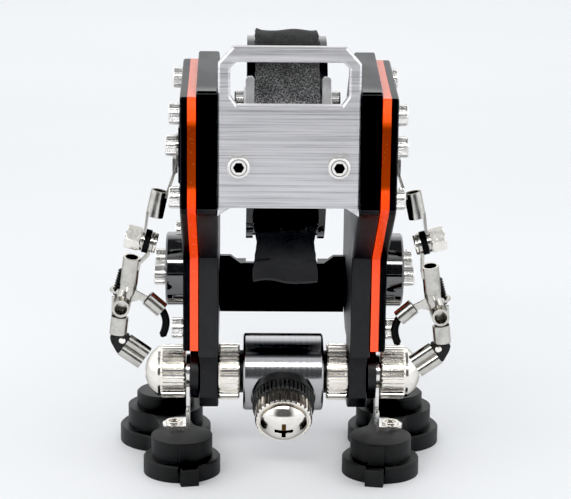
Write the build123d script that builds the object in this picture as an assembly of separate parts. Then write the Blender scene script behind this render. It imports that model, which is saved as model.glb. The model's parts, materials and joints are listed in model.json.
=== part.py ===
from build123d import *
import math
import os

# Two-legged desk robot figure that also holds a wrist watch on its hoop.
# Millimetres, +Z up, +X is the figure's own left as seen from the front.
# The layout is drawn with Y measured back from the front plate's face and is
# moved at the end so that the origin is the bottom centre of the bounding box.

# ---------------------------------------------------------------- dimensions
GAP_HALF = 22.0          # half of the gap between the two inner side plates
INNER_T = 6.7            # inner side plate thickness
ACCENT_T = 2.7           # coloured acrylic layer
OUTER_T = 2.3            # outer side plate
X1 = GAP_HALF + INNER_T
X2 = X1 + ACCENT_T
X3 = X2 + OUTER_T        # outer face of the body
PLATE_T = 4.0            # front plate thickness
M4_HEAD_R, M4_HEAD_H = 3.5, 3.6
M4_R, M4_HOLE_R = 2.0, 2.1
M3_HEAD_R, M3_HEAD_H = 2.75, 3.0
M3_R = 1.5
AXLE_Y, AXLE_Z, AXLE_R = 50.7, 31.2, 3.0
AXLE_HOLE_R = 3.1
CYL_R, CYL_HALF = 13.2, 13.6
NUT_R = 9.2
INNER_NUT_R = 9.75
THUMB_X0, THUMB_X1 = 33.2, 41.7
DOME_R, DOME_H = 8.45, 5.5
HOOP_Y, HOOP_Z = 50.0, 112.8
HOOP_A, HOOP_B = 26.0, 34.0
HOOP_HALF, RIM_IN = 13.0, 10.7
LINER_HALF = 10.5
DISC_Y, DISC_Z, DISC_R, DISC_T = 49.0, 67.9, 12.4, 6.0
KNOB_TILT = 27.0         # the belly knob points this far below the horizontal
TOE = (33.2, 37.4)       # centre of the front disc of the shoe
HEEL = (40.0, 71.5)      # centre of the rear disc of the shoe
SHOE_Z1, SHOE_Z2, SHOE_Z3 = 5.8, 12.8, 18.0
ARM_Y, SHOULDER_Z = 28.0, 113.9
ARM_TILT = 15.0
ELBOW = (45.25, 82.2)    # X and Z of the middle of the elbow washer

PARTS = {}


def keep(name, *solids):
    PARTS[name] = [s for x in solids for s in x.solids()]


def poly(pts):
    return make_face(Polyline(*pts, close=True))


def plate_yz(pts, x0, x1):
    return extrude(Plane.YZ.offset(x0) * poly(pts), amount=x1 - x0)


def plate_xz(pts, y0, y1):
    return extrude(Plane.XZ.offset(-y1) * poly(pts), amount=y1 - y0)


def rod(p, q, r):
    v = Vector(*q) - Vector(*p)
    return Plane(origin=p, z_dir=v).location * Cylinder(r, v.length, align=(Align.CENTER, Align.CENTER, Align.MIN))


def tube(p, q, r, wall):
    v = (Vector(*q) - Vector(*p)).normalized()
    a, b = Vector(*p) - v, Vector(*q) + v
    return rod(p, q, r) - rod(tuple(a), tuple(b), r - wall)


def knurl_face(r, depth, n, flat=0.5):
    pts = []
    for i in range(n):
        for k, rr in ((0, r), (flat, r), (flat + 0.12, r - depth), (0.88, r - depth)):
            a = 2 * math.pi * (i + k) / n
            pts.append((rr * math.cos(a), rr * math.sin(a)))
    return poly(pts)


def knurled(plane, r, h, depth, n, cham=0.4):
    body = extrude(knurl_face(r, depth, n), amount=h)
    c = Cylinder(r + 0.01, h, align=(Align.CENTER, Align.CENTER, Align.MIN))
    c = chamfer(c.edges().filter_by(GeomType.CIRCLE), cham)
    return plane.location * (body & c)


def cap_screw(plane, r, h, shank_r, length, hexr, n=24, neck=0.0):
    """Socket head cap screw: the plane lies under the head and its normal points out of the head."""
    head = extrude(knurl_face(r, 0.16, n), amount=h)
    c = Cylinder(r + 0.01, h, align=(Align.CENTER, Align.CENTER, Align.MIN))
    c = chamfer(c.edges().group_by(Axis.Z)[-1], 0.45)
    head = head & c
    head -= extrude(Plane.XY.offset(h) * RegularPolygon(hexr, 6), amount=-h * 0.55)
    shank = Cylinder(shank_r, length, align=(Align.CENTER, Align.CENTER, Align.MAX))
    if neck:
        head = Pos(0, 0, neck) * head
        shank += Cylinder(r - 0.45, neck + 0.2, align=(Align.CENTER, Align.CENTER, Align.MIN))
    return plane.location * (head + shank)


def cross_recess(plane, arm, width, depth):
    a = Box(2 * arm, width, 2 * depth)
    b = Box(width, 2 * arm, 2 * depth)
    return plane.location * (a + b)


def mir(s):
    return mirror(s, about=Plane.YZ)


def side_plane(x, y, z):
    return Plane(origin=(x, y, z), x_dir=(0, 1, 0), z_dir=(1, 0, 0))


# ---------------------------------------------------------------- side plates
INNER = [(0, 99), (0, 134.9), (0.28, 135.45), (0.9, 135.85), (42, 142.6), (62, 138), (84, 122), (88, 112), (88, 60), (84, 48),
         (68, 41.4), (58.6, 41.4), (58.6, 24.2), (54.2, 19.6), (47.2, 19.6), (43, 24.0), (43, 41.4), (33, 41.4), (33, 75.4), (2, 97)]
OUTER = [(0, 99), (0, 133.4), (0.5, 134.0), (42, 140.1), (61.5, 135.6), (82.4, 120.6), (86.4, 111), (86.4, 60.6), (82.8, 49),
         (70, 41), (44, 41), (41, 43.5), (33, 43.5), (33, 75.4), (2, 97)]
SIDE_SCREWS = [(60.0, 131.3), (15.3, 126.4), (17.5, 99.0), (38.5, 50.0), (81.5, 104.0), (80.0, 74.0)]
PAD_T = 0.85            # the outer plate is thicker round the shoulder
HIP_SCREWS = [(44.4, 67.0), (53.9, 70.1)]
BLOCK_SCREW = (85.0, 54.6)

inner = plate_yz(INNER, GAP_HALF, X1)
inner = chamfer(inner.edges().filter_by(Axis.X, reverse=True), 0.4)
accent = plate_yz(OUTER, X1, X2)
outer = plate_yz(OUTER, X2, X3)
outer = chamfer(outer.faces().sort_by(Axis.X)[-1].edges(), 0.5)
pad = plate_yz([(12, 104.6), (12, 122.5), (36, 122.5), (40, 118.5), (40, 108.6), (36, 104.6)], X3 - 0.5, X3 + PAD_T)
pad = chamfer(pad.faces().sort_by(Axis.X)[-1].edges(), 0.3)
outer += pad
for (y, z) in SIDE_SCREWS:
    inner -= rod((GAP_HALF + 1.6, y, z), (X1 + 1, y, z), M4_R + 0.03)
    accent -= rod((X1 - 1, y, z), (X2 + 1, y, z), M4_HOLE_R)
    outer -= rod((X2 - 1, y, z), (X3 + 1, y, z), M4_HOLE_R)
for (y, z) in HIP_SCREWS + [(ARM_Y, SHOULDER_Z)]:
    inner -= rod((GAP_HALF + 1.6, y, z), (X1 + 1, y, z), M4_R + 0.03)
    accent -= rod((X1 - 1, y, z), (X2 + 1, y, z), M4_HOLE_R)
    outer -= rod((X2 - 1, y, z), (X3 + 2, y, z), M4_HOLE_R)
inner -= rod((GAP_HALF - 1, *BLOCK_SCREW), (X1 + 1, *BLOCK_SCREW), M3_R + 0.1)
accent -= rod((X1 - 1, *BLOCK_SCREW), (X2 + 1, *BLOCK_SCREW), M3_R + 0.1)
outer -= rod((X2 - 1, *BLOCK_SCREW), (X3 + 1, *BLOCK_SCREW), M3_R + 0.1)
inner -= rod((GAP_HALF - 1, AXLE_Y, AXLE_Z), (X1 + 1, AXLE_Y, AXLE_Z), AXLE_HOLE_R)
# a clamp screw on each side goes through the inner plate into the mount block
inner -= rod((GAP_HALF - 1, 10.0, 115.0), (X1 + 1, 10.0, 115.0), M4_HOLE_R)
inner -= rod((X1 - 2.4, 10.0, 115.0), (X1 + 1, 10.0, 115.0), 3.8)

side = []
for (y, z) in SIDE_SCREWS:
    side.append(cap_screw(side_plane(X3, y, z), M4_HEAD_R, M4_HEAD_H, M4_R, X3 - GAP_HALF - 2.0, 1.75, neck=0.4))
for (y, z) in HIP_SCREWS:
    side.append(cap_screw(side_plane(X3 + DISC_T, y, z), M4_HEAD_R, M4_HEAD_H, M4_R, X3 + DISC_T - GAP_HALF - 2.0, 1.75, neck=0.4))
small = cap_screw(side_plane(X3, *BLOCK_SCREW), M3_HEAD_R, 2.0, M3_R, X3 - 18.6, 1.4)
# hidden clamp screw, low head sunk in the inner plate
side.append(rod((X1 - 2.35, 10.0, 115.0), (X1 - 0.05, 10.0, 115.0), 3.6) + rod((16.3, 10.0, 115.0), (X1 - 2.3, 10.0, 115.0), M4_R))

disc = side_plane(X3, DISC_Y, DISC_Z).location * Cylinder(DISC_R, DISC_T, align=(Align.CENTER, Align.CENTER, Align.MIN))
disc = chamfer(disc.faces().sort_by(Axis.X)[-1].edges(), 0.6)
for (y, z) in HIP_SCREWS:
    disc -= rod((X3 - 1, y, z), (X3 + DISC_T + 1, y, z), M4_HOLE_R)

for tag, f in (("left", mir), ("right", lambda s: s)):
    keep(tag + "_inner_plate", f(inner))
    keep(tag + "_accent_plate", f(accent))
    keep(tag + "_outer_plate", f(outer))
    keep(tag + "_hip_disc", f(disc))
M4_SCREWS = side + [mir(s) for s in side]
M3_SCREWS = [small, mir(small)]

# ---------------------------------------------------------------- front plate, block, bracket
front = plate_xz([(-17.4, 149.6), (17.4, 149.6), (22, 144.5), (22, 96.7), (18, 99.3), (-18, 99.3), (-22, 96.7), (-22, 144.5)], 0, PLATE_T)
front -= plate_xz([(-16.35, 144.9), (16.35, 144.9), (18.25, 143.0), (18.25, 134.4), (16.25, 131.6), (-16.25, 131.6), (-18.25, 134.4), (-18.25, 143.0)], -1, PLATE_T + 1)
front = chamfer(front.faces().sort_by(Axis.Y)[0].edges(), 0.6)
for s in (-1, 1):
    front -= rod((s * 15.5, -1, 112.8), (s * 15.5, PLATE_T + 1, 112.8), M4_HOLE_R)
keep("front_plate", front)

block = Pos(0, 10.0, 115.0) * Box(2 * GAP_HALF, 12.0, 22.0)
block = chamfer(block.edges().filter_by(Axis.X), 0.6)
BRACKET_SCREWS = [(-6.0, 110.0), (6.0, 110.0)]
for s in (-1, 1):
    block -= rod((s * 15.5, 3, 112.8), (s * 15.5, 9.2, 112.8), M4_R + 0.03)
    block -= rod((s * 23, 10.0, 115.0), (s * 16.0, 10.0, 115.0), M4_R + 0.03)
for (x, z) in BRACKET_SCREWS:
    block -= rod((x, 9.0, z), (x, 17.0, z), M3_R + 0.03)
keep("mount_block", block)

for s in (-1, 1):
    pl = Plane(origin=(s * 15.5, 0, 112.8), x_dir=(1, 0, 0), z_dir=(0, -1, 0))
    M4_SCREWS.append(cap_screw(pl, M4_HEAD_R, M4_HEAD_H, M4_R, 9.0, 1.75))

# U bracket of 0.9 mm steel between the mount block and the hoop's two rims
EAR0, EAR1 = HOOP_HALF + 0.05, HOOP_HALF + 0.95
HOOP_SCREW = (28.8, 129.0)
bracket = Pos(0, 16.5, 117.0) * Box(2 * EAR1, 1.0, 18.0)
ear_pts = [(16, 108), (17, 108), (25, 122.5), (30.8, 124.6), (33, 127.1), (33, 131.1), (30.8, 133.4), (26, 133.4), (21, 130.8), (16, 128)]
for s in (-1, 1):
    e = plate_yz(ear_pts, EAR0, EAR1)
    bracket += e if s > 0 else mir(e)
for s in (-1, 1):
    arm_up = plate_xz([(10.7, 125), (13.4, 125), (13.4, 137.4), (12.8, 138.2), (11.3, 138.2), (10.7, 137.4)], 16, 17)
    bracket += arm_up if s > 0 else mir(arm_up)
for s in (-1, 1):
    bracket -= rod((s * (EAR0 - 1), *HOOP_SCREW), (s * (EAR1 + 1), *HOOP_SCREW), M3_R + 0.1)
for (x, z) in BRACKET_SCREWS:
    bracket -= rod((x, 15, z), (x, 18, z), M3_R + 0.1)
keep("hoop_bracket", bracket)
for (x, z) in BRACKET_SCREWS:
    M3_SCREWS.append(cap_screw(Plane(origin=(x, 17.0, z), x_dir=(1, 0, 0), z_dir=(0, 1, 0)), M3_HEAD_R, 2.0, M3_R, 7.0, 1.4))

# ---------------------------------------------------------------- watch hoop and its liner
def oval(a, b, x0, x1):
    return extrude(Plane.YZ.offset(x0) * Pos(HOOP_Y, HOOP_Z) * Ellipse(a, b), amount=x1 - x0)


def ray(deg, r):
    a = math.radians(deg)
    return (HOOP_Y - r * math.cos(a), HOOP_Z + r * math.sin(a))


def wedge(d0, d1, x):
    n = 6
    pts = [(HOOP_Y, HOOP_Z)] + [ray(d0 + (d1 - d0) * i / n, 80) for i in range(n + 1)]
    return plate_yz(pts, -x, x)


hoop = oval(HOOP_A, HOOP_B, -HOOP_HALF, HOOP_HALF)
hoop -= oval(HOOP_A, HOOP_B, -RIM_IN, RIM_IN) - oval(HOOP_A - 1.0, HOOP_B - 1.0, -RIM_IN, RIM_IN)
hoop -= oval(HOOP_A - 3.0, HOOP_B - 3.0, -20, 20)
hoop -= wedge(150, 260, 20)
for s in (-1, 1):
    hoop -= rod((s * (HOOP_HALF + 1), *HOOP_SCREW), (s * (HOOP_HALF - 1.7), *HOOP_SCREW), 1.03)
keep("hoop", hoop)
for s in (-1, 1):
    pl = Plane(origin=(s * EAR1, *HOOP_SCREW), x_dir=(0, 1, 0), z_dir=(s, 0, 0))
    M3_SCREWS.append(cap_screw(pl, M3_HEAD_R, M3_HEAD_H, 1.0, 2.4, 1.4))

liner = (oval(HOOP_A + 1.3, HOOP_B + 1.3, -LINER_HALF, LINER_HALF) - oval(HOOP_A - 0.95, HOOP_B - 0.95, -20, 20)) & wedge(-66, 97, 20)
tail = plate_yz([(34.6, 86.5), (33.0, 76.0), (32.6, 67.2), (34.4, 67.2), (35.0, 76.0), (37.4, 84.6)], -LINER_HALF, LINER_HALF)
tail -= oval(HOOP_A - 0.95, HOOP_B - 0.95, -20, 20)
keep("strap_liner", liner + tail)

# ---------------------------------------------------------------- rear cross plate
cross = plate_xz([(-22, 44.4), (22, 44.4), (22, 64.8), (18.2, 64.8), (14.7, 62.2), (-14.7, 62.2), (-18.2, 64.8), (-22, 64.8)], 79.9, 82.9)
cross = chamfer(cross.faces().sort_by(Axis.Y)[0].edges().filter_by(Axis.X), 0.4)
rblock = Pos(17.4, 85.45, 54.6) * Box(9.2, 5.1, 15.0)
for s in (-1, 1):
    cross -= rod((s * 15.4, 79, 54.6), (s * 15.4, 84, 54.6), M3_R + 0.05)
    head = Plane(origin=(s * 15.4, 88.0, 54.6), x_dir=(1, 0, 0), z_dir=(0, 1, 0))
    M3_SCREWS.append(cap_screw(head, M3_HEAD_R, 2.0, M3_R, 9.9, 1.4) + Pos(s * 15.4, 78.1, 54.6) * Sphere(M3_R))
rblock -= rod((15.4, 80, 54.6), (15.4, 90, 54.6), M3_R + 0.05)
rblock -= rod((18.3, *BLOCK_SCREW), (24, *BLOCK_SCREW), M3_R + 0.03)
keep("cross_plate", cross)
keep("rear_blocks", rblock, mir(rblock))

# ---------------------------------------------------------------- bottom axle
AX = (AXLE_Y, AXLE_Z)
kt = math.radians(KNOB_TILT)
KD = (0.0, -math.cos(kt), -math.sin(kt))


def kp(r):
    return (0.0, AXLE_Y + KD[1] * r, AXLE_Z + KD[2] * r)


cyl = rod((-CYL_HALF, *AX), (CYL_HALF, *AX), CYL_R)
cyl = fillet(cyl.edges().filter_by(GeomType.CIRCLE), 0.9)
cyl -= rod((-20, *AX), (20, *AX), AXLE_HOLE_R)
cyl -= rod(kp(11.0), kp(20.0), 10.9)
cyl -= rod(kp(3.4), kp(12.0), 2.6)
keep("axle_cylinder", cyl)
keep("axle_rod", rod((-35.8, *AX), (35.8, *AX), AXLE_R))

spacers = []
inner_nuts = []
collar = rod((CYL_HALF, *AX), (14.8, *AX), 7.3) - rod((13, *AX), (16, *AX), AXLE_HOLE_R)
ankle = rod((X1, *AX), (31.6, *AX), NUT_R) - rod((X1 - 1, *AX), (32.6, *AX), AXLE_HOLE_R)
for s in (collar, ankle):
    spacers += [s, mir(s)]
keep("axle_spacers", *spacers)
nut = knurled(side_plane(14.8, *AX), INNER_NUT_R, GAP_HALF - 14.8, 0.45, 36, 0.7) - rod((14, *AX), (23, *AX), AXLE_HOLE_R)
keep("inner_nuts", nut, mir(nut))

thumb = knurled(side_plane(THUMB_X0, *AX), NUT_R, THUMB_X1 - THUMB_X0, 0.45, 36, 0.7)
thumb -= rod((THUMB_X0 - 1, *AX), (THUMB_X1 + 1, *AX), AXLE_HOLE_R)


def dome(pl, r, h, edge, shank_r, shank_l, arm, width, depth):
    """Domed cross-head screw whose seat is the plane and whose normal points out."""
    rr = (r * r + (h - edge) ** 2) / (2 * (h - edge))
    cap = Cylinder(r, h, align=(Align.CENTER, Align.CENTER, Align.MIN)) & (Pos(0, 0, h - rr) * Sphere(rr))
    cap += Cylinder(shank_r, shank_l, align=(Align.CENTER, Align.CENTER, Align.MAX))
    cut = Box(2 * arm, width, 2 * depth) + Box(width, 2 * arm, 2 * depth)
    cap -= Pos(0, 0, h) * cut
    return pl.location * cap


dscrew = dome(side_plane(THUMB_X1, *AX), DOME_R, DOME_H, 0.9, AXLE_R, THUMB_X1 - 36.2, 3.4, 1.5, 2.2)
for tag, f in (("left", mir), ("right", lambda s: s)):
    keep(tag + "_thumb_nut", f(thumb))
    keep(tag + "_dome_screw", f(dscrew))

KPL = Plane(origin=kp(11.1), x_dir=(1, 0, 0), z_dir=KD)
bc = KPL.location * Cylinder(10.4, 3.0, align=(Align.CENTER, Align.CENTER, Align.MIN))
bc += knurled(Plane(origin=kp(14.1), x_dir=(1, 0, 0), z_dir=KD), 10.4, 4.2, 0.5, 44, 0.5)
bc -= rod(kp(5), kp(25), 2.6)
keep("belly_collar", bc)
br = knurled(Plane(origin=kp(18.3), x_dir=(1, 0, 0), z_dir=KD), 9.6, 5.7, 0.55, 32, 0.4) - rod(kp(17), kp(25), 2.6)
br -= rod(kp(23.0), kp(25.0), 8.4)
keep("belly_ring", br)
DPL = Plane(origin=kp(23.0), x_dir=(1, 0, 0), z_dir=KD)
keep("belly_screw", dome(DPL, 7.8, 6.0, 1.8, 2.5, 19.2, 3.1, 1.4, 2.0))

# ---------------------------------------------------------------- shoes
dx, dy = TOE[0] - HEEL[0], TOE[1] - HEEL[1]
dl = math.hypot(dx, dy)
UX, UY = dx / dl, dy / dl          # from heel to toe
SHOE_ANG = math.degrees(math.atan2(UY, UX))


def shoe_outline(rt, rh, neck):
    mid = ((TOE[0] + HEEL[0]) / 2, (TOE[1] + HEEL[1]) / 2)
    sk = Pos(*TOE) * Circle(rt) + Pos(*HEEL) * Circle(rh) + Pos(*mid) * Rot(0, 0, SHOE_ANG) * Rectangle(dl, neck)
    sk = offset(sk, amount=4.0)
    return offset(sk, amount=-4.0)


low = shoe_outline(13.0, 16.0, 15.0)
tab_f = Pos(TOE[0] + UX * 14.0, TOE[1] + UY * 14.0) * Rot(0, 0, SHOE_ANG) * Rectangle(4.6, 6.0)
tab_r = Pos(HEEL[0] - UX * 16.6, HEEL[1] - UY * 16.6) * Rot(0, 0, SHOE_ANG) * Rectangle(4.6, 7.0)
low = low + tab_f + tab_r
shoe = extrude(low, amount=SHOE_Z1)
shoe = chamfer(shoe.faces().sort_by(Axis.Z)[-1].edges(), 0.5)
shoe += extrude(Plane.XY.offset(SHOE_Z1 - 0.2) * shoe_outline(10.3, 13.2, 11.0), amount=SHOE_Z2 - SHOE_Z1 + 0.2)
block_f = Pos(TOE[0] + UX * 8.35, TOE[1] + UY * 8.35) * Rot(0, 0, SHOE_ANG) * Rectangle(4.6, 5.5)
shoe += extrude(Plane.XY.offset(SHOE_Z1 - 0.2) * block_f, amount=SHOE_Z2 - SHOE_Z1 - 0.2)
notch = Pos(TOE[0] + UX * 11.95, TOE[1] + UY * 11.95, SHOE_Z1 - 1.1) * Rot(0, 0, SHOE_ANG) * Box(2.5, 6.4, 2.4)
shoe -= notch
shoe += Pos(HEEL[0], HEEL[1], SHOE_Z2 - 0.2) * Cylinder(10.1, SHOE_Z3 - SHOE_Z2 + 0.2, align=(Align.CENTER, Align.CENTER, Align.MIN))
notch2 = Pos(HEEL[0] - UX * 12.6, HEEL[1] - UY * 12.6, SHOE_Z1 + 5) * Rot(0, 0, SHOE_ANG) * Box(5.0, 6.5, 10)
shoe -= notch2
shoe = chamfer(shoe.faces().sort_by(Axis.Z)[-1].edges(), 0.6)
RIVET = (37.1, AXLE_Y - 4.2)
LEFT_SHOE_OUT = 1.0     # the left shoe is riveted on a little further out

fb = rod((31.8, *AX), (33.0, *AX), 6.0) + Pos(32.4, AXLE_Y, (SHOE_Z2 + AXLE_Z) / 2) * Box(1.2, 8.0, AXLE_Z - SHOE_Z2)
fb += rod((*RIVET, SHOE_Z2), (*RIVET, SHOE_Z2 + 1.2), 4.0) + Pos((31.8 + 37.1) / 2, AXLE_Y - 3.1, SHOE_Z2 + 0.6) * Box(37.1 - 31.8, 10.2, 1.2)
fb += Pos(32.4, AXLE_Y - 3.6, SHOE_Z2 + 3.0) * Box(1.2, 9.2, 6.0)
fb -= rod((31, *AX), (34, *AX), AXLE_HOLE_R)
fb -= rod((*RIVET, 12.0), (*RIVET, 15.0), 1.6)
rivet = rod((*RIVET, SHOE_Z2 + 1.2), (*RIVET, SHOE_Z2 + 2.0), 2.9) + rod((*RIVET, 5.2), (*RIVET, SHOE_Z2 + 1.3), 1.5)
rivet -= rod((*RIVET, SHOE_Z2 - 4.0), (*RIVET, SHOE_Z2 + 3.0), 1.15)
rivet -= rod((*RIVET, SHOE_Z2 + 1.5), (*RIVET, SHOE_Z2 + 3.0), 1.9)
for tag, f, out in (("left", mir, LEFT_SHOE_OUT), ("right", lambda s: s, 0.0)):
    keep(tag + "_shoe", f(Pos(out, 0, 0) * shoe - rod((*RIVET, 5.0), (*RIVET, 20.0), 1.55)))
    keep(tag + "_shoe_bracket", f(fb))
    keep(tag + "_shoe_rivet", f(rivet))

# ---------------------------------------------------------------- arms
t = math.radians(ARM_TILT)
NX, NZ = math.cos(t), math.sin(t)      # elbow axis, pointing outward and a little up
E3 = (ELBOW[0], ARM_Y, ELBOW[1])


def on_axis(d):
    return (ELBOW[0] + NX * d, ARM_Y, ELBOW[1] + NZ * d)


def strip(p, q, width, thick):
    """Flat tongue in the X-Z plane between two points given as (x, z)."""
    (ax, az), (bx, bz) = p, q
    d = math.hypot(bx - ax, bz - az)
    nx, nz = -(bz - az) / d * thick / 2, (bx - ax) / d * thick / 2
    return plate_xz([(ax + nx, az + nz), (bx + nx, bz + nz), (bx - nx, bz - nz), (ax - nx, az - nz)], ARM_Y - width / 2, ARM_Y + width / 2)


# upper arm: shoulder ring, tongue, barrel, tongue, elbow ring
R0 = X3 + PAD_T + 0.1
ring_t = 0.9
up_a, up_b = (40.9, 99.0), (42.8, 90.5)
OD, WALL = 2.85, 0.75
upper = rod((R0, ARM_Y, SHOULDER_Z), (R0 + ring_t, ARM_Y, SHOULDER_Z), 3.9)
upper += strip((R0 + 0.45, SHOULDER_Z - 2.6), (R0 + 0.75, SHOULDER_Z - 6.5), 4.2, ring_t)
upper += strip((R0 + 0.72, SHOULDER_Z - 6.2), (38.5, 98.5), 4.2, ring_t)
upper += strip((38.4, 98.9), (38.85, 96.9), 4.0, 0.75)
upper += Pos(R0 + 1.4, ARM_Y, SHOULDER_Z - 6.4) * Box(1.6, 3.4, 4.8)
barrel = tube((up_a[0], ARM_Y, up_a[1]), (up_b[0], ARM_Y, up_b[1]), OD, WALL)
lo1 = on_axis(1.55)
lo2 = (lo1[0] - NZ * 4.6, lo1[2] + NX * 4.6)
lo0 = (up_b[0] + (OD - 0.4) * NX - 0.3, up_b[1] + (OD - 0.4) * NZ + 1.3)
upper += barrel
upper += strip(lo0, (lo2[0] + 0.05, lo2[1] - 0.3), 4.0, 0.8)
upper += strip((lo1[0] - NZ * 2.8, lo1[2] + NX * 2.8), lo2, 4.0, 0.8)
upper += rod(on_axis(1.15), on_axis(1.95), 3.5)
upper -= rod((R0 - 1, ARM_Y, SHOULDER_Z), (R0 + 3, ARM_Y, SHOULDER_Z), M4_HOLE_R)
upper -= rod(on_axis(-1), on_axis(4), M4_HOLE_R)
shoulder_screw = cap_screw(side_plane(R0 + ring_t + 0.1, ARM_Y, SHOULDER_Z), M4_HEAD_R, M4_HEAD_H, M4_R, R0 + ring_t + 0.1 - GAP_HALF - 2.0, 1.75)
M4_SCREWS += [shoulder_screw, mir(shoulder_screw)]

# elbow stack, from the inside out: bolt head, forearm ring, rubber washer, upper ring, nut
EPL = Plane(origin=on_axis(-2.15), x_dir=(0, 1, 0), z_dir=(-NX, 0, -NZ))
bolt = EPL.location * Cylinder(3.4, 1.1, align=(Align.CENTER, Align.CENTER, Align.MIN))
bolt = chamfer(bolt.edges().filter_by(GeomType.CIRCLE), 0.3)
bolt += rod(on_axis(-2.2), on_axis(7.2), M4_R)
washer = rod(on_axis(-1.0), on_axis(1.0), 3.9) - rod(on_axis(-3), on_axis(3), M4_HOLE_R)
hexn = Plane(origin=on_axis(2.1), x_dir=(0, 1, 0), z_dir=(NX, 0, NZ)).location * (
    extrude(RegularPolygon(4.04, 6), amount=4.9)
    & chamfer(Cylinder(4.05, 4.9, align=(Align.CENTER, Align.CENTER, Align.MIN)).edges().filter_by(GeomType.CIRCLE), 0.55)
)
hexn -= rod(on_axis(1), on_axis(8), M4_R + 0.03)

# forearm: elbow ring, tongue, open barrel
fa, fbm = (48.9, 75.9), (50.1, 66.6)
in0 = on_axis(-1.55)
in1 = (in0[0] + NZ * 4.3, in0[2] - NX * 4.3)


def forearm(dx, dz):
    """The tongue bends to where this side's barrel hangs."""
    f = rod(on_axis(-2.05), on_axis(-1.1), 3.5)
    f += strip((in0[0] + NZ * 2.6, in0[2] - NX * 2.6), in1, 4.0, 0.9)
    f += strip((in1[0] - 0.1, in1[1] + 0.3), (46.55 + dx, 73.6 + dz), 4.0, 0.9)
    f += strip((46.45 + dx, 73.9 + dz), (46.85 + dx, 71.6 + dz), 4.0, 0.9)
    f += Pos(dx, 0, dz) * tube((fa[0], ARM_Y - 1.0, fa[1]), (fbm[0], ARM_Y + 0.6, fbm[1]), OD, WALL)
    return f - rod(on_axis(-4), on_axis(1), M4_HOLE_R)


# hand
fdir = (Vector(fbm[0], ARM_Y + 0.6, fbm[1]) - Vector(fa[0], ARM_Y - 1.0, fa[1])).normalized()
pa = Vector(fbm[0], ARM_Y + 0.6, fbm[1]) + fdir * 0.05
pb = Vector(52.2, ARM_Y + 0.4, 59.9)
palm = rod(tuple(pa), tuple(pa + fdir * 2.6), 2.75) + rod(tuple(pa + fdir * 1.4), tuple(pb), 2.55)
palm = palm + Pos(*(pa + fdir * 2.75)) * Sphere(2.7)
finger_c = (52.3, 59.9)
palm += rod((finger_c[0], ARM_Y - 7.0, finger_c[1]), (finger_c[0], ARM_Y + 2.6, finger_c[1]), OD)
palm -= rod((finger_c[0], ARM_Y - 8.0, finger_c[1]), (finger_c[0], ARM_Y - 1.5, finger_c[1]), OD - 0.8)
# flat tongue that fans out from the palm to the thumb barrel
palm += plate_xz([(50.6, 64.4), (48.2, 64.7), (43.6, 62.2), (42.4, 59.4), (46.6, 61.2), (50.6, 60.2)], ARM_Y - 0.45, ARM_Y + 0.45)
ta, tb = (43.9, 61.9), (39.2, 57.8)
thumb_b = tube((ta[0], ARM_Y, ta[1]), (tb[0], ARM_Y, tb[1]), 2.6, 0.7)
# ring lug behind the palm for the threaded stud
wa, wb = Vector(51.75, ARM_Y + 4.8, 70.0), Vector(54.1, ARM_Y + 5.3, 61.4)
wd = (wb - wa).normalized()
lug = rod(tuple(wa + wd * 7.0), tuple(wa + wd * 7.9), 3.0) - rod(tuple(wa + wd * 6), tuple(wa + wd * 9), M4_HOLE_R)
palm += lug
palm += rod((52.2, ARM_Y + 1.0, 62.2), (53.4, ARM_Y + 3.2, 63.0), 1.3)
palm -= rod(tuple(wa), tuple(wb), M4_HOLE_R)
thumb_b -= palm
stud = rod(tuple(wa), tuple(wb), 1.6)
n_turns = 9
for i in range(n_turns):
    c = wa + wd * (0.45 + i * 0.9)
    if 6.5 < 0.45 + i * 0.9 < 8.4:
        continue
    p0, p1, p2 = c - wd * 0.3, c, c + wd * 0.3
    stud += Plane(origin=tuple(p0), z_dir=wd).location * Cone(1.6, 2.0, 0.3, align=(Align.CENTER, Align.CENTER, Align.MIN))
    stud += Plane(origin=tuple(p1), z_dir=wd).location * Cone(2.0, 1.6, 0.3, align=(Align.CENTER, Align.CENTER, Align.MIN))
# two fingers below the palm: a short upright barrel with a bent black joint, then a wide crimp
la, lb = (52.9, 56.0), (53.6, 50.2)
lower = tube((la[0], ARM_Y - 2.0, la[1]), (lb[0], ARM_Y - 2.0, lb[1]), OD, WALL)
lower += Plane(origin=(la[0], ARM_Y - 2.0, la[1]), z_dir=(lb[0] - la[0], 0, lb[1] - la[1])).location * Pos(0, 0, 3.6) * Cylinder(OD - 0.1, 2.2, align=(Align.CENTER, Align.CENTER, Align.MIN))
lower += plate_xz([(55.7, 62.0), (54.4, 62.2), (54.6, 50.6), (56.0, 50.6)], ARM_Y + 0.2, ARM_Y + 1.2)
lower += Pos(55.2, ARM_Y - 0.2, 52.0) * Box(1.0, 2.8, 3.0)
lower -= palm
joint = plate_xz([(51.0, 50.0), (56.2, 50.0), (55.8, 47.9), (53.6, 43.8), (49.6, 49.4)], ARM_Y - 4.2, ARM_Y + 0.4)
joint = chamfer(joint.edges().filter_by(Axis.Y), 0.5)
joint -= lower
pin = rod((52.1, ARM_Y - 4.9, 48.4), (52.1, ARM_Y - 3.0, 48.4), 1.1)
joint -= rod((52.1, ARM_Y - 6.0, 48.4), (52.1, ARM_Y - 3.0, 48.4), 1.1)
pin = chamfer(pin.faces().sort_by(Axis.Y)[0].edges(), 0.35)
ba, bb = (51.5, 46.55), (44.9, 41.9)
bd = (Vector(bb[0], 0, bb[1]) - Vector(ba[0], 0, ba[1])).normalized()
bn = Vector(-bd.Z, 0, bd.X)
crimp = None
for s in (-1, 1):
    o = bn * (s * 1.95)
    tb_ = tube((ba[0] + o.X, ARM_Y - 1.9, ba[1] + o.Z), (bb[0] + o.X, ARM_Y - 1.9, bb[1] + o.Z), 2.1, 0.55)
    crimp = tb_ if crimp is None else crimp + tb_
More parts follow.
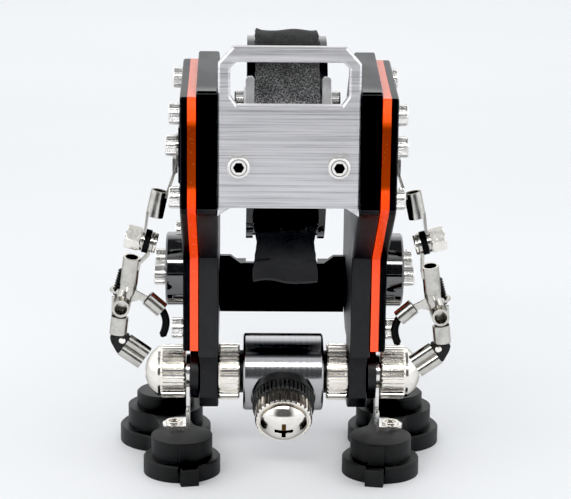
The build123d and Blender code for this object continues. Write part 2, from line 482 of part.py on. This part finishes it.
crimp += Plane(origin=(ba[0] + bd.X * 3.2, ARM_Y - 1.9, ba[1] + bd.Z * 3.2), x_dir=tuple(bn), z_dir=tuple(bd)).location * Box(1.2, 1.6, 5.0)
crimp -= joint
# insulated wire end in the thumb barrel
wpath = Spline([(41.3, ARM_Y, 59.75), (38.9, ARM_Y, 57.2), (37.95, ARM_Y, 54.2), (38.2, ARM_Y, 51.6), (39.0, ARM_Y, 49.3)])
wire = sweep(Plane(origin=wpath @ 0, z_dir=wpath % 0) * Circle(1.25), path=wpath)
wire += rod((38.9, ARM_Y, 49.6), (39.25, ARM_Y, 48.7), 0.7)
wire -= thumb_b

arm = {
    "upper_arm": upper, "elbow_bolt": bolt, "elbow_washer": washer, "elbow_nut": hexn, "palm": palm,
    "wrist_stud": stud, "finger_barrel": lower, "finger_joint": joint, "finger_rivet": pin, "finger_crimp": crimp,
    "thumb_barrel": thumb_b, "thumb_wire": wire,
}
# the terminals are bent by hand, so the two hands do not hang alike
for tag, f, dx, dz in (("left", mir, 1.2, 1.2), ("right", lambda s: s, -1.6, -1.2)):
    keep(tag + "_forearm", f(forearm(dx, dz)))
    for n, s in arm.items():
        fixed = n in ("upper_arm", "elbow_bolt", "elbow_washer", "elbow_nut")
        keep(tag + "_" + n, f(s if fixed else Pos(dx, 0, dz) * s))

keep("cap_screws_m4", *M4_SCREWS)
keep("cap_screws_m3", *M3_SCREWS)

# ---------------------------------------------------------------- move to the part frame and write
lo = min(s.bounding_box().min.Y for g in PARTS.values() for s in g)
hi = max(s.bounding_box().max.Y for g in PARTS.values() for s in g)
SHIFT = -(lo + hi) / 2
os.makedirs("parts", exist_ok=True)
for name, solids in PARTS.items():
    moved = [Pos(0, SHIFT, 0) * s for s in solids]
    export_step(moved[0] if len(moved) == 1 else Compound(children=moved), "parts/" + name + ".step")
print(len(PARTS), "nodes; layout moved back by", round(SHIFT, 4), "mm in Y; depth", round(hi - lo, 3))
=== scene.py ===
import bpy
import json
import math
from mathutils import Matrix, Vector


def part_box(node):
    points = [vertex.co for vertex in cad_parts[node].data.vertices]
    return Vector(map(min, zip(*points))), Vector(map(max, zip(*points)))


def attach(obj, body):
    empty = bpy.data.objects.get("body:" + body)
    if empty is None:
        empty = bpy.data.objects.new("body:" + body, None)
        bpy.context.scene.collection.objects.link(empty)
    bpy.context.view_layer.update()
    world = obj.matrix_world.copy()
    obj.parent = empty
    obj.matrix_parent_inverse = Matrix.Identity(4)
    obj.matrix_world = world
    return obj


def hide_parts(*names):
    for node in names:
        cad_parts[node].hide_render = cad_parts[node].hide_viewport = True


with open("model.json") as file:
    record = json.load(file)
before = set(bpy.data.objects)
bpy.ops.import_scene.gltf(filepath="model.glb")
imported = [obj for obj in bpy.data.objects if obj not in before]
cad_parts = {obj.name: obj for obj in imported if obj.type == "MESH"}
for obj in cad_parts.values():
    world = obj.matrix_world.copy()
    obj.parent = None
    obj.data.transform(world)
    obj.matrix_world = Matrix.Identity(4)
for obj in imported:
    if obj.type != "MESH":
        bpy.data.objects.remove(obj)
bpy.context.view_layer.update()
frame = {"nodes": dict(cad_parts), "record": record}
NODES = frame["nodes"]
scene = bpy.context.scene
scene.view_settings.view_transform = "Standard"
scene.view_settings.look = "None"
scene.view_settings.use_curve_mapping = True
scene.view_settings.curve_mapping.black_level = (0.018, 0.018, 0.018)
scene.view_settings.curve_mapping.update()

# ------------------------------------------------------------------ placing
# The layout's Y is counted back from the front plate's face, in millimetres.
front_lo, front_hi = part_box("front_plate")
Y0 = front_lo[1]


def P(x, y, z):
    return Vector((x / 1000.0, Y0 + y / 1000.0, z / 1000.0))


# ------------------------------------------------------------------ camera
F_PX, YAW, PITCH, ROLL = 1958.5, math.radians(1.366), math.radians(13.395), math.radians(0.667)
cy, sy, cp, sp = math.cos(YAW), math.sin(YAW), math.cos(PITCH), math.sin(PITCH)
fwd = Vector((sy * cp, cy * cp, -sp))
right = Vector((cy, -sy, 0.0))
up = right.cross(fwd)
r2 = right * math.cos(ROLL) + up * math.sin(ROLL)
u2 = up * math.cos(ROLL) - right * math.sin(ROLL)
cam_data = bpy.data.cameras.new("camera")
cam_data.sensor_width = 36.0
cam_data.lens = F_PX * 36.0 / 571.0
cam_data.clip_start, cam_data.clip_end = 0.01, 50.0
cam = bpy.data.objects.new("camera", cam_data)
scene.collection.objects.link(cam)
rot = Matrix((r2, u2, -fwd)).transposed().to_4x4()
cam.matrix_world = Matrix.Translation(P(-14.9, -594.06, 227.83)) @ rot
scene.camera = cam


# ------------------------------------------------------------------ material helpers
class M:
    def __init__(self, name, color, metallic=0.0, rough=0.5, spec=0.5, coat=0.0, coat_rough=0.1, sheen=0.0, aniso=0.0):
        self.m = bpy.data.materials.new(name)
        self.m.use_nodes = True
        self.t = self.m.node_tree
        self.b = self.t.nodes["Principled BSDF"]
        self.b.inputs["Base Color"].default_value = (*color, 1.0)
        self.b.inputs["Metallic"].default_value = metallic
        self.b.inputs["Roughness"].default_value = rough
        self.b.inputs["Specular IOR Level"].default_value = spec
        self.b.inputs["Coat Weight"].default_value = coat
        self.b.inputs["Coat Roughness"].default_value = coat_rough
        self.b.inputs["Sheen Weight"].default_value = sheen
        self.b.inputs["Anisotropic"].default_value = aniso
        if metallic > 0.5:
            # polished metal goes dark towards its outline in a bright studio
            self.b.inputs["Specular Tint"].default_value = (0.45, 0.44, 0.42, 1.0)
        self.m.diffuse_color = (*color, 1.0)
        self.normal = None

    def node(self, kind, **props):
        n = self.t.nodes.new(kind)
        for k, v in props.items():
            setattr(n, k, v)
        return n

    def coords(self, scale=(1, 1, 1), rot=(0, 0, 0), loc=(0, 0, 0)):
        tc = self.node("ShaderNodeTexCoord")
        mp = self.node("ShaderNodeMapping")
        mp.inputs["Scale"].default_value = scale
        mp.inputs["Rotation"].default_value = rot
        mp.inputs["Location"].default_value = loc
        self.t.links.new(tc.outputs["Object"], mp.inputs["Vector"])
        return mp.outputs["Vector"]

    def noise(self, vec, scale, detail=4.0, rough=0.55, distort=0.0):
        n = self.node("ShaderNodeTexNoise")
        n.inputs["Scale"].default_value = scale
        n.inputs["Detail"].default_value = detail
        n.inputs["Roughness"].default_value = rough
        n.inputs["Distortion"].default_value = distort
        self.t.links.new(vec, n.inputs["Vector"])
        return n.outputs["Fac"]

    def voronoi(self, vec, scale, feature="F1", rand=1.0):
        n = self.node("ShaderNodeTexVoronoi", feature=feature)
        n.inputs["Scale"].default_value = scale
        n.inputs["Randomness"].default_value = rand
        self.t.links.new(vec, n.inputs["Vector"])
        return n.outputs["Distance"]

    def ramp(self, fac, stops, interp="LINEAR"):
        n = self.node("ShaderNodeValToRGB")
        n.color_ramp.interpolation = interp
        el = n.color_ramp.elements
        while len(el) < len(stops):
            el.new(0.5)
        for e, (p, c) in zip(el, stops):
            e.position = p
            e.color = (*c, 1.0) if len(c) == 3 else c
        self.t.links.new(fac, n.inputs["Fac"])
        return n.outputs["Color"]

    def grey(self, fac, a, b, lo=0.3, hi=0.7):
        n = self.node("ShaderNodeMapRange")
        n.inputs["From Min"].default_value = lo
        n.inputs["From Max"].default_value = hi
        n.inputs["To Min"].default_value = a
        n.inputs["To Max"].default_value = b
        self.t.links.new(fac, n.inputs["Value"])
        return n.outputs["Result"]

    def mix(self, fac, a, b, blend="MIX"):
        n = self.node("ShaderNodeMix", data_type="RGBA", blend_type=blend)
        if isinstance(fac, (int, float)):
            n.inputs[0].default_value = fac
        else:
            self.t.links.new(fac, n.inputs[0])
        for i, v in ((6, a), (7, b)):
            if isinstance(v, tuple):
                n.inputs[i].default_value = (*v, 1.0)
            else:
                self.t.links.new(v, n.inputs[i])
        return n.outputs[2]

    def math(self, op, a, b=0.5):
        n = self.node("ShaderNodeMath", operation=op)
        for i, v in ((0, a), (1, b)):
            if isinstance(v, (int, float)):
                n.inputs[i].default_value = v
            else:
                self.t.links.new(v, n.inputs[i])
        return n.outputs[0]

    def to(self, socket, out):
        self.t.links.new(out, self.b.inputs[socket])

    def bevel(self, radius_mm):
        n = self.node("ShaderNodeBevel", samples=6)
        n.inputs["Radius"].default_value = radius_mm / 1000.0
        self.normal = n.outputs["Normal"]
        self.t.links.new(self.normal, self.b.inputs["Normal"])

    def bump(self, height, strength=0.3, dist_mm=0.05):
        n = self.node("ShaderNodeBump")
        n.inputs["Strength"].default_value = strength
        n.inputs["Distance"].default_value = dist_mm / 1000.0
        self.t.links.new(height, n.inputs["Height"])
        if self.normal is not None:
            self.t.links.new(self.normal, n.inputs["Normal"])
        self.normal = n.outputs["Normal"]
        self.t.links.new(self.normal, self.b.inputs["Normal"])


def brushed_aluminium():
    k = M("brushed_aluminium", (0.86, 0.85, 0.87), metallic=1.0, rough=0.4)
    k.bevel(0.12)
    v = k.coords(scale=(26, 400, 4200))
    fine = k.noise(v, 1.0, 6, 0.75)
    v2 = k.coords(scale=(11, 200, 1100), loc=(3.1, 0, 7.7))
    broad = k.noise(v2, 1.0, 3, 0.6)
    both = k.math("ADD", k.math("MULTIPLY", fine, 0.6), k.math("MULTIPLY", broad, 0.4))
    k.to("Base Color", k.ramp(both, [(0.39, (0.58, 0.575, 0.595)), (0.5, (0.91, 0.90, 0.93)), (0.60, (1.0, 0.99, 1.0))]))
    k.to("Roughness", k.grey(both, 0.32, 0.5))
    k.bump(fine, 0.4, 0.03)
    return k.m


def black_anodised(name="black_anodised", base=0.017, rough=0.42, spec=0.42):
    k = M(name, (base, base, base * 1.06), rough=rough, spec=spec)
    k.bevel(0.2)
    v = k.coords()
    grain = k.noise(v, 5200, 3, 0.6)
    cloud = k.noise(v, 60, 4, 0.6)
    speck = k.noise(v, 2600, 3, 0.7)
    sep = k.node("ShaderNodeSeparateXYZ")
    k.t.links.new(v, sep.inputs[0])
    # the upright front face is polished, and its colour is painted shade, much blacker than the blasted faces behind
    # it
    back = k.node("ShaderNodeMapRange")
    back.inputs["From Min"].default_value = Y0 + 0.0008
    back.inputs["From Max"].default_value = Y0 + 0.0060
    k.t.links.new(sep.outputs["Y"], back.inputs["Value"])
    satin = k.ramp(k.math("ADD", k.math("MULTIPLY", cloud, 0.4), k.math("MULTIPLY", speck, 0.6)),
                   [(0.36, (base * 0.7,) * 3), (0.66, (base * 1.5, base * 1.5, base * 1.65))])
    k.to("Base Color", k.mix(back.outputs["Result"], (0.0015, 0.0015, 0.0016), satin))
    k.to("Roughness", k.math("MULTIPLY", k.grey(cloud, rough - 0.05, rough + 0.08), k.grey(back.outputs["Result"], 0.45, 1.0, 0.0, 1.0)))
    k.bump(grain, 0.28, 0.02)
    return k.m


def accent():
    k = M("accent_acrylic", (0.95, 0.085, 0.02), rough=0.24, spec=0.32, coat=0.1, coat_rough=0.1)
    k.bevel(0.12)
    v = k.coords()
    sep = k.node("ShaderNodeSeparateXYZ")
    k.t.links.new(v, sep.inputs[0])
    z = sep.outputs["Z"]
    wob = k.noise(k.coords(scale=(1, 1, 260)), 1.0, 3, 0.6)
    # the colour bands by height are painted light and shade: the mount block stops light behind the middle of the
    # sheet, so its edge glows less there and is painted darker
    zz = k.math("ADD", z, k.math("MULTIPLY", k.math("SUBTRACT", wob, 0.5), 0.003))
    fac = k.math("DIVIDE", zz, 0.15)
    painted_glow = k.ramp(fac, [(0.0, (0.88, 0.105, 0.038)), (0.36, (0.88, 0.10, 0.035)), (0.655, (0.88, 0.06, 0.012)), (0.698, (0.88, 0.075, 0.01)),
                        (0.709, (0.24, 0.031, 0.002)), (0.83, (0.19, 0.026, 0.002)), (0.846, (0.78, 0.085, 0.014)), (0.885, (0.85, 0.11, 0.03)), (0.905, (0.55, 0.075, 0.02))])
    k.to("Base Color", painted_glow)
    # painted glow: the sheet emits its own banded colour though it is no lamp
    k.b.inputs["Emission Strength"].default_value = 0.18
    k.to("Emission Color", painted_glow)
    k.to("Roughness", k.grey(k.noise(v, 700, 4, 0.6), 0.16, 0.30))
    k.bump(k.noise(k.coords(scale=(1, 60, 1)), 900, 3), 0.12, 0.02)
    return k.m


def gloss_black(name, rough=0.2, spec=0.5):
    k = M(name, (0.008, 0.008, 0.009), rough=rough, spec=spec)
    k.bevel(0.15)
    v = k.coords()
    smudge = k.noise(v, 90, 5, 0.65)
    k.to("Roughness", k.grey(smudge, max(0.03, rough - 0.03), rough + 0.06))
    k.to("Base Color", k.ramp(smudge, [(0.3, (0.005, 0.005, 0.006)), (0.75, (0.010, 0.010, 0.011))]))
    k.bump(k.noise(v, 1800, 2), 0.03, 0.02)
    return k.m


def steel(name, base, rough, scratch=(1, 1, 1), strength=0.2, edge=0.12, blackened=None, tint=None, low=0.72, recess=None, faces=None):
    k = M(name, base, metallic=1.0, rough=rough)
    if tint:
        k.b.inputs["Specular Tint"].default_value = (*tint, 1.0)
    k.bevel(edge)
    v = k.coords(scale=scratch)
    n = k.noise(v, 1400, 5, 0.65)
    spots = k.noise(k.coords(), 320, 4, 0.7)
    lo = tuple(c * low for c in base)
    col = k.ramp(spots, [(0.28, lo), (0.5, base), (0.8, tuple(min(1.0, c * 1.1) for c in base))])
    if blackened:
        # the screws in the rear cross plate are black-oxide ones
        sep = k.node("ShaderNodeSeparateXYZ")
        k.t.links.new(k.coords(), sep.inputs[0])
        inner = k.math("LESS_THAN", k.math("ABSOLUTE", sep.outputs["X"]), 0.0215)
        col = k.mix(k.math("MULTIPLY", inner, k.math("GREATER_THAN", sep.outputs["Y"], blackened)), col, (0.03, 0.03, 0.031))
    if faces:
        # the two front screws: a dark brown socket and a turned, matt face with one groove
        sx_, fy, fz = faces
        sp = k.node("ShaderNodeSeparateXYZ")
        k.t.links.new(k.coords(), sp.inputs[0])
        dx = k.math("SUBTRACT", k.math("ABSOLUTE", sp.outputs["X"]), sx_)
        dz = k.math("SUBTRACT", sp.outputs["Z"], fz)
        rad2 = k.math("ADD", k.math("MULTIPLY", dx, dx), k.math("MULTIPLY", dz, dz))
        y = sp.outputs["Y"]
        ahead = k.math("LESS_THAN", y, fy - 0.0002)
        sunk = k.math("MULTIPLY", k.math("GREATER_THAN", y, fy - 0.0034), k.math("MULTIPLY", ahead, k.math("LESS_THAN", rad2, 0.0021 ** 2)))
        face = k.math("LESS_THAN", y, fy - 0.00345)
        groove = k.math("MULTIPLY", face, k.math("MULTIPLY", k.math("GREATER_THAN", rad2, 0.00235 ** 2), k.math("LESS_THAN", rad2, 0.00265 ** 2)))
        col = k.mix(face, col, (1.0, 0.99, 0.97))
        col = k.mix(groove, col, (0.30, 0.28, 0.26))
        col = k.mix(sunk, col, (0.07, 0.055, 0.04))
    if recess:
        # the plating doesn't reach the bottom of the cross recess, which is dark brass
        seat, axis, arm, floor_at = recess
        q = k.node("ShaderNodeVectorMath", operation="SUBTRACT")
        k.t.links.new(k.coords(), q.inputs[0])
        q.inputs[1].default_value = seat
        along = k.node("ShaderNodeVectorMath", operation="DOT_PRODUCT")
        k.t.links.new(q.outputs["Vector"], along.inputs[0])
        along.inputs[1].default_value = axis
        size = k.node("ShaderNodeVectorMath", operation="LENGTH")
        k.t.links.new(q.outputs["Vector"], size.inputs[0])
        a = along.outputs["Value"]
        r2 = k.math("SUBTRACT", k.math("MULTIPLY", size.outputs["Value"], size.outputs["Value"]), k.math("MULTIPLY", a, a))
        inside = k.math("MULTIPLY", k.math("LESS_THAN", r2, arm * arm), k.math("MULTIPLY", k.math("LESS_THAN", a, floor_at), k.math("GREATER_THAN", a, 0.001)))
        col = k.mix(inside, col, (0.10, 0.065, 0.03))
    k.to("Base Color", col)
    rr = k.grey(n, max(0.03, rough - 0.06), rough + 0.1)
    if faces:
        rr = k.math("ADD", rr, k.math("MULTIPLY", face, 0.32))
    k.to("Roughness", rr)
    k.bump(n, strength, 0.02)
    return k.m


def turned(name, base, rough):
    k = M(name, base, metallic=1.0, rough=rough, aniso=0.3)
    k.bevel(0.15)
    rings = k.noise(k.coords(scale=(2600, 8, 8)), 1.0, 4, 0.6)
    k.to("Base Color", k.ramp(rings, [(0.3, tuple(c * 0.88 for c in base)), (0.7, base)]))
    k.to("Roughness", k.grey(rings, rough - 0.03, rough + 0.05))
    k.bump(rings, 0.08, 0.02)
    return k.m


def plastic(name, base, rough, grain=2600, depth=0.04, strength=0.35, spec=0.4):
    k = M(name, (base, base, base * 1.08), rough=rough, spec=spec)
    k.bevel(0.25)
    v = k.coords()
    g = k.noise(v, grain, 4, 0.6)
    c = k.noise(v, 45, 4, 0.6)
    k.to("Base Color", k.ramp(c, [(0.3, (base * 0.8,) * 3), (0.72, (base * 1.5,) * 3)]))
    k.to("Roughness", k.grey(c, rough - 0.06, rough + 0.1))
    k.bump(g, strength, depth)
    return k.m


def felt():
    k = M("liner_felt", (0.02, 0.02, 0.021), rough=0.85, spec=0.22, sheen=0.06)
    k.b.inputs["Sheen Roughness"].default_value = 0.5
    v = k.coords()
    cell = k.voronoi(v, 2300)
    grain = k.noise(k.coords(scale=(0.7, 1, 1.5)), 2600, 5, 0.75, 0.8)
    both = k.math("ADD", k.math("MULTIPLY", cell, 0.5), k.math("MULTIPLY", grain, 0.7))
    sep = k.node("ShaderNodeSeparateXYZ")
    k.t.links.new(v, sep.inputs[0])
    # the nap is rubbed up where the hoop's face shows through the plate window, which is wear; the darker bands are
    # painted shade: the band below the window stands for the plate's shadow, and the top is painted darker against the
    # light that falls on it
    patch = k.noise(v, 160, 3, 0.6)
    z = k.math("ADD", sep.outputs["Z"], k.math("MULTIPLY", k.math("SUBTRACT", patch, 0.5), 0.012))
    rub_and_painted_shade = k.ramp(k.math("DIVIDE", z, 0.15), [(0.50, (0.11,) * 3), (0.545, (0.11,) * 3), (0.57, (0.02,) * 3), (0.66, (0.02,) * 3), (0.72, (0.8,) * 3), (0.86, (0.7,) * 3), (0.90, (0.26,) * 3), (0.93, (0.12,) * 3), (0.96, (0.055,) * 3)])
    base = k.ramp(both, [(0.40, (0.045, 0.045, 0.046)), (0.56, (0.16, 0.16, 0.163)), (0.72, (0.62, 0.62, 0.62))])
    # the tail is pressed smooth
    smooth_end = k.node("ShaderNodeMapRange")
    smooth_end.inputs["From Min"].default_value = 0.0855
    smooth_end.inputs["From Max"].default_value = 0.0835
    k.t.links.new(sep.outputs["Z"], smooth_end.inputs["Value"])
    tail = k.ramp(grain, [(0.35, (0.030, 0.030, 0.031)), (0.65, (0.050, 0.050, 0.051))])
    k.to("Base Color", k.mix(smooth_end.outputs["Result"], k.mix(1.0, base, rub_and_painted_shade, "MULTIPLY"), tail))
    k.bump(k.math("MULTIPLY", both, k.grey(smooth_end.outputs["Result"], 1.0, 0.25, 0.0, 1.0)), 0.8, 0.14)
    k.to("Roughness", k.grey(grain, 0.7, 0.95))
    return k.m


MATS = {
    "brushed_aluminium": brushed_aluminium(),
    "black_anodised": black_anodised(),
    "accent_acrylic": accent(),
    "outer_black": gloss_black("outer_black", 0.32, 0.2),
    "hoop_black": gloss_black("hoop_black", 0.07, 0.8),
    "stainless": steel("stainless", (0.88, 0.87, 0.85), 0.2, strength=0.08, blackened=Y0 + 0.074, tint=(0.75, 0.74, 0.72), low=0.8, faces=(0.0155, Y0, 0.1128)),
    "nickel": steel("nickel", (0.92, 0.89, 0.84), 0.10, strength=0.04, low=0.85),
    "satin_chrome": turned("satin_chrome", (0.51, 0.51, 0.52), 0.16),
    "tinned": steel("tinned", (0.60, 0.585, 0.55), 0.16, scratch=(1, 1, 0.25), strength=0.14),
    "shoe_black": plastic("shoe_black", 0.012, 0.52, strength=0.5, spec=0.33),
    "knob_black": plastic("knob_black", 0.036, 0.32),
    "black_rubber": plastic("black_rubber", 0.008, 0.65, grain=1500, spec=0.25),
    "blackened_steel": steel("blackened_steel", (0.05, 0.05, 0.05), 0.35),
    "liner_felt": felt(),
}
DISC = gloss_black("disc_black", 0.05, 0.5)
DISC.node_tree.nodes["Principled BSDF"].inputs["IOR"].default_value = 2.3
KNURLED = steel("nickel_knurled", (0.985, 0.945, 0.88), 0.14, strength=0.02, tint=(0.85, 0.84, 0.81), low=0.93)
KT = math.radians(27.0)
KD = (0.0, -math.cos(KT), -math.sin(KT))
SEAT = tuple(P(0.0, 50.7 + KD[1] * 23.0, 31.2 + KD[2] * 23.0))
BELLY = steel("nickel_domed", (0.92, 0.89, 0.84), 0.09, strength=0.03, low=0.88, recess=(SEAT, KD, 0.0034, 0.0051))
BRIGHT = steel("bright_sheet", (0.98, 0.98, 0.98), 0.46, strength=0.05, tint=(0.9, 0.9, 0.9), low=0.9)
OWN = {"hoop_bracket": BRIGHT, "belly_screw": BELLY, "inner_nuts": KNURLED, "left_thumb_nut": KNURLED, "right_thumb_nut": KNURLED, "belly_ring": KNURLED,
       "left_hip_disc": DISC, "right_hip_disc": DISC}
SLOT = {s["node"]: s["material_slot"] for s in frame["record"]["subparts"]}
for name, obj in NODES.items():
    m = OWN.get(name) or MATS[SLOT[name]]
    if not obj.material_slots:
        obj.data.materials.append(m)
    for s in obj.material_slots:
        s.material = m

# ------------------------------------------------------------------ liner strip
HY, HZ = 50.0, 112.8


def liner_mid(t):
    """Centre of the strip at t from 0 at the lifted top end to 1 at the tip of the tail: (y, z)."""
    pts = LINER_PATH
    f = t * (len(pts) - 1)
    i = min(int(f), len(pts) - 2)
    u = f - i
    return (pts[i][0] * (1 - u) + pts[i + 1][0] * u, pts[i][1] * (1 - u) + pts[i + 1][1] * u)


raw = []
for i in range(0, 121):
    a = math.radians(101.0 - i * (101.0 + 62.0) / 120.0)
    lift = 0.0
    if a > math.radians(78):
        lift = 2.0 * ((a - math.radians(78)) / math.radians(23)) ** 1.6
    ca, sa = math.cos(a), math.sin(a)
    r = 1.0 / math.sqrt((ca / 25.75) ** 2 + (sa / 33.75) ** 2)
    raw.append((HY - ca * (r + lift), HZ + sa * (r + lift)))
last = raw[-1]
for q in ((33.9, 82.4), (33.2, 79.6), (32.6, 77.0), (31.7, 74.6), (30.3, 72.4), (28.6, 70.6), (26.7, 69.2)):
    raw.append(q)
# even spacing along the strip
acc = [0.0]
for p, q in zip(raw, raw[1:]):
    acc.append(acc[-1] + math.hypot(q[0] - p[0], q[1] - p[1]))
LINER_LEN = acc[-1]
NV, NU = 170, 30
LINER_PATH = []
j = 0
for i in range(NV + 1):
    d = LINER_LEN * i / NV
    while j < len(acc) - 2 and acc[j + 1] < d:
        j += 1
    u = (d - acc[j]) / max(acc[j + 1] - acc[j], 1e-9)
    LINER_PATH.append((raw[j][0] * (1 - u) + raw[j + 1][0] * u, raw[j][1] * (1 - u) + raw[j + 1][1] * u))
# soften the path so the tail leaves the hoop in one curve
for _ in range(14):
    LINER_PATH = [LINER_PATH[0]] + [((a[0] + 2 * b[0] + c[0]) / 4, (a[1] + 2 * b[1] + c[1]) / 4) for a, b, c in zip(LINER_PATH, LINER_PATH[1:], LINER_PATH[2:])] + [LINER_PATH[-1]]


def smooth(x, a, b):
    t = min(1.0, max(0.0, (x - a) / (b - a)))
    return t * t * (3 - 2 * t)


verts, faces = [], []
for i in range(NV + 1):
    d = LINER_LEN * i / NV
    y, z = LINER_PATH[i]
    p0, p1 = LINER_PATH[max(0, i - 1)], LINER_PATH[min(NV, i + 1)]
    ty, tz = p1[0] - p0[0], p1[1] - p0[1]
    tl = math.hypot(ty, tz)
    ny, nz = tz / tl, -ty / tl          # outward
    if (y - HY) * ny + (z - HZ) * nz < 0:
        ny, nz = -ny, -nz
    end0 = 1.0 - smooth(d, 0.0, 7.0)    # near the lifted end
    end1 = smooth(d, LINER_LEN - 17.0, LINER_LEN)
    half = 10.45 - 0.9 * math.exp(-((d - (LINER_LEN - 13.0)) / 5.0) ** 2) + 0.25 * end1
    half -= 0.30 * end0
    half += 0.10 * math.sin(d * 0.9) + 0.06 * math.sin(d * 2.3 + 1.0)
    for k in range(NU + 1):
        s = -1.0 + 2.0 * k / NU
        x = s * half
        bow = 0.05 * math.sin(3.1 * s + d * 0.35) + 0.04 * math.sin(7.0 * s - d * 0.6)
        bow += end0 * (0.28 * math.sin(4.2 * s + 0.6) + 0.75 * max(0.0, -s - 0.82) * 4.0 + 0.45 * max(0.0, s - 0.85) * 4.0)
        bow += end1 * (0.55 * math.sin(2.6 * s + 0.9) + 0.35 * math.cos(5.0 * s))
        along = end0 * (0.25 * math.sin(5.0 * s + 1.0) - 0.3 * max(0.0, -s - 0.85) * 5) * (1.0 if i == 0 else 0.6)
        along += end1 * 0.55 * math.sin(3.3 * s - 0.4)
        verts.append(P(x, y + ny * bow + ty / tl * along, z + nz * bow + tz / tl * along))
for i in range(NV):
    for k in range(NU):
        a = i * (NU + 1) + k
        faces.append((a, a + 1, a + NU + 2, a + NU + 1))
me = bpy.data.meshes.new("liner_strip")
me.from_pydata([tuple(v) for v in verts], [], faces)
me.update()
for p in me.polygons:
    p.use_smooth = True
liner = bpy.data.objects.new("liner_strip", me)
scene.collection.objects.link(liner)
sol = liner.modifiers.new("thickness", "SOLIDIFY")
sol.thickness = 0.0011
sol.offset = 0.0
sol.use_rim = True
bev = liner.modifiers.new("edge", "BEVEL")
bev.width = 0.00022
bev.segments = 2
bev.limit_method = "ANGLE"
me.materials.append(MATS["liner_felt"])
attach(liner, "chassis")
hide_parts("strap_liner")

# ------------------------------------------------------------------ floor, world, lights
fl = bpy.data.meshes.new("floor")
R = 4.0
fl.from_pydata([(-R, -R, 0), (R, -R, 0), (R, R, 0), (-R, R, 0)], [], [(0, 1, 2, 3)])
floor = bpy.data.objects.new("floor", fl)
scene.collection.objects.link(floor)
km = M("floor", (0.86, 0.87, 0.885), rough=0.6, spec=0.2)
km.to("Base Color", km.ramp(km.noise(km.coords(), 3.0, 2), [(0.3, (0.85, 0.862, 0.878)), (0.7, (0.87, 0.88, 0.893))]))
fl.materials.append(km.m)

w = bpy.data.worlds.new("studio")
scene.world = w
w.use_nodes = True
nt = w.node_tree
bg = nt.nodes["Background"]
tc = nt.nodes.new("ShaderNodeTexCoord")
sx = nt.nodes.new("ShaderNodeSeparateXYZ")
nt.links.new(tc.outputs["Generated"], sx.inputs[0])
# a white tent that is open overhead and dark round the camera, so that metal has something to show
dt = nt.nodes.new("ShaderNodeVectorMath")
dt.operation = "DOT_PRODUCT"
dt.inputs[1].default_value = (0.0, -0.985, 0.17)
nt.links.new(tc.outputs["Generated"], dt.inputs[0])


def band(value, lo, hi, a, b):
    n = nt.nodes.new("ShaderNodeMapRange")
    n.interpolation_type = "SMOOTHSTEP"
    for key, v in (("From Min", lo), ("From Max", hi), ("To Min", a), ("To Max", b)):
        n.inputs[key].default_value = v
    nt.links.new(value, n.inputs["Value"])
    return n.outputs["Result"]


ml = nt.nodes.new("ShaderNodeMath")
ml.operation = "MULTIPLY"
nt.links.new(band(dt.outputs["Value"], 0.62, 0.92, 1.27, 0.12), ml.inputs[0])
nt.links.new(band(sx.outputs["Z"], 0.80, 0.93, 1.0, 0.12), ml.inputs[1])
# seen directly, the studio wall is plain and pale
lp = nt.nodes.new("ShaderNodeLightPath")
wall = nt.nodes.new("ShaderNodeMix")
wall.data_type = "FLOAT"
nt.links.new(lp.outputs["Is Camera Ray"], wall.inputs[0])
nt.links.new(ml.outputs[0], wall.inputs[2])
wall.inputs[3].default_value = 0.9
nt.links.new(wall.outputs[0], bg.inputs["Strength"])
bg.inputs["Color"].default_value = (0.97, 0.985, 1.0, 1)


def area(name, loc, target, size, power, size_y=None):
    ld = bpy.data.lights.new(name, "AREA")
    ld.energy = power
    ld.shape = "RECTANGLE" if size_y else "SQUARE"
    ld.size = size
    if size_y:
        ld.size_y = size_y
    o = bpy.data.objects.new(name, ld)
    scene.collection.objects.link(o)
    o.location = loc
    d = Vector(target) - Vector(loc)
    o.rotation_euler = d.to_track_quat("-Z", "Y").to_euler()
    return o


area("back_box", (0.0, 1.2, 0.85), (0, 0, 0.08), 1.4, 1.0, 0.6)
area("far_wash", (0.0, 1.55, 0.75), (0.0, 1.45, 0.0), 1.6, 1.3, 1.3)
area("front_strip", (-0.1, -0.74, 0.60), (0, 0, 0.07), 0.9, 3.9, 0.12)
area("left_box", (-0.9, -0.35, 0.45), (0, 0, 0.08), 0.2, 0.35, 0.6)
area("right_box", (0.9, -0.35, 0.45), (0, 0, 0.08), 0.2, 0.35, 0.6)

# a dark card lies on the paper in front, seen only in reflections
cm = bpy.data.meshes.new("dark_card")
cm.from_pydata([(-0.9, -1.6, 0.004), (0.9, -1.6, 0.004), (0.9, Y0 - 0.36, 0.004), (-0.9, Y0 - 0.36, 0.004)], [], [(0, 1, 2, 3)])
card = bpy.data.objects.new("dark_card", cm)
scene.collection.objects.link(card)
kc = M("dark_card", (0.02, 0.02, 0.022), rough=0.8, spec=0.1)
kc.to("Base Color", kc.ramp(kc.noise(kc.coords(), 40.0, 3), [(0.3, (0.016, 0.016, 0.018)), (0.7, (0.026, 0.026, 0.028))]))
cm.materials.append(kc.m)
card.visible_camera = False
card.visible_shadow = False
card.visible_diffuse = False
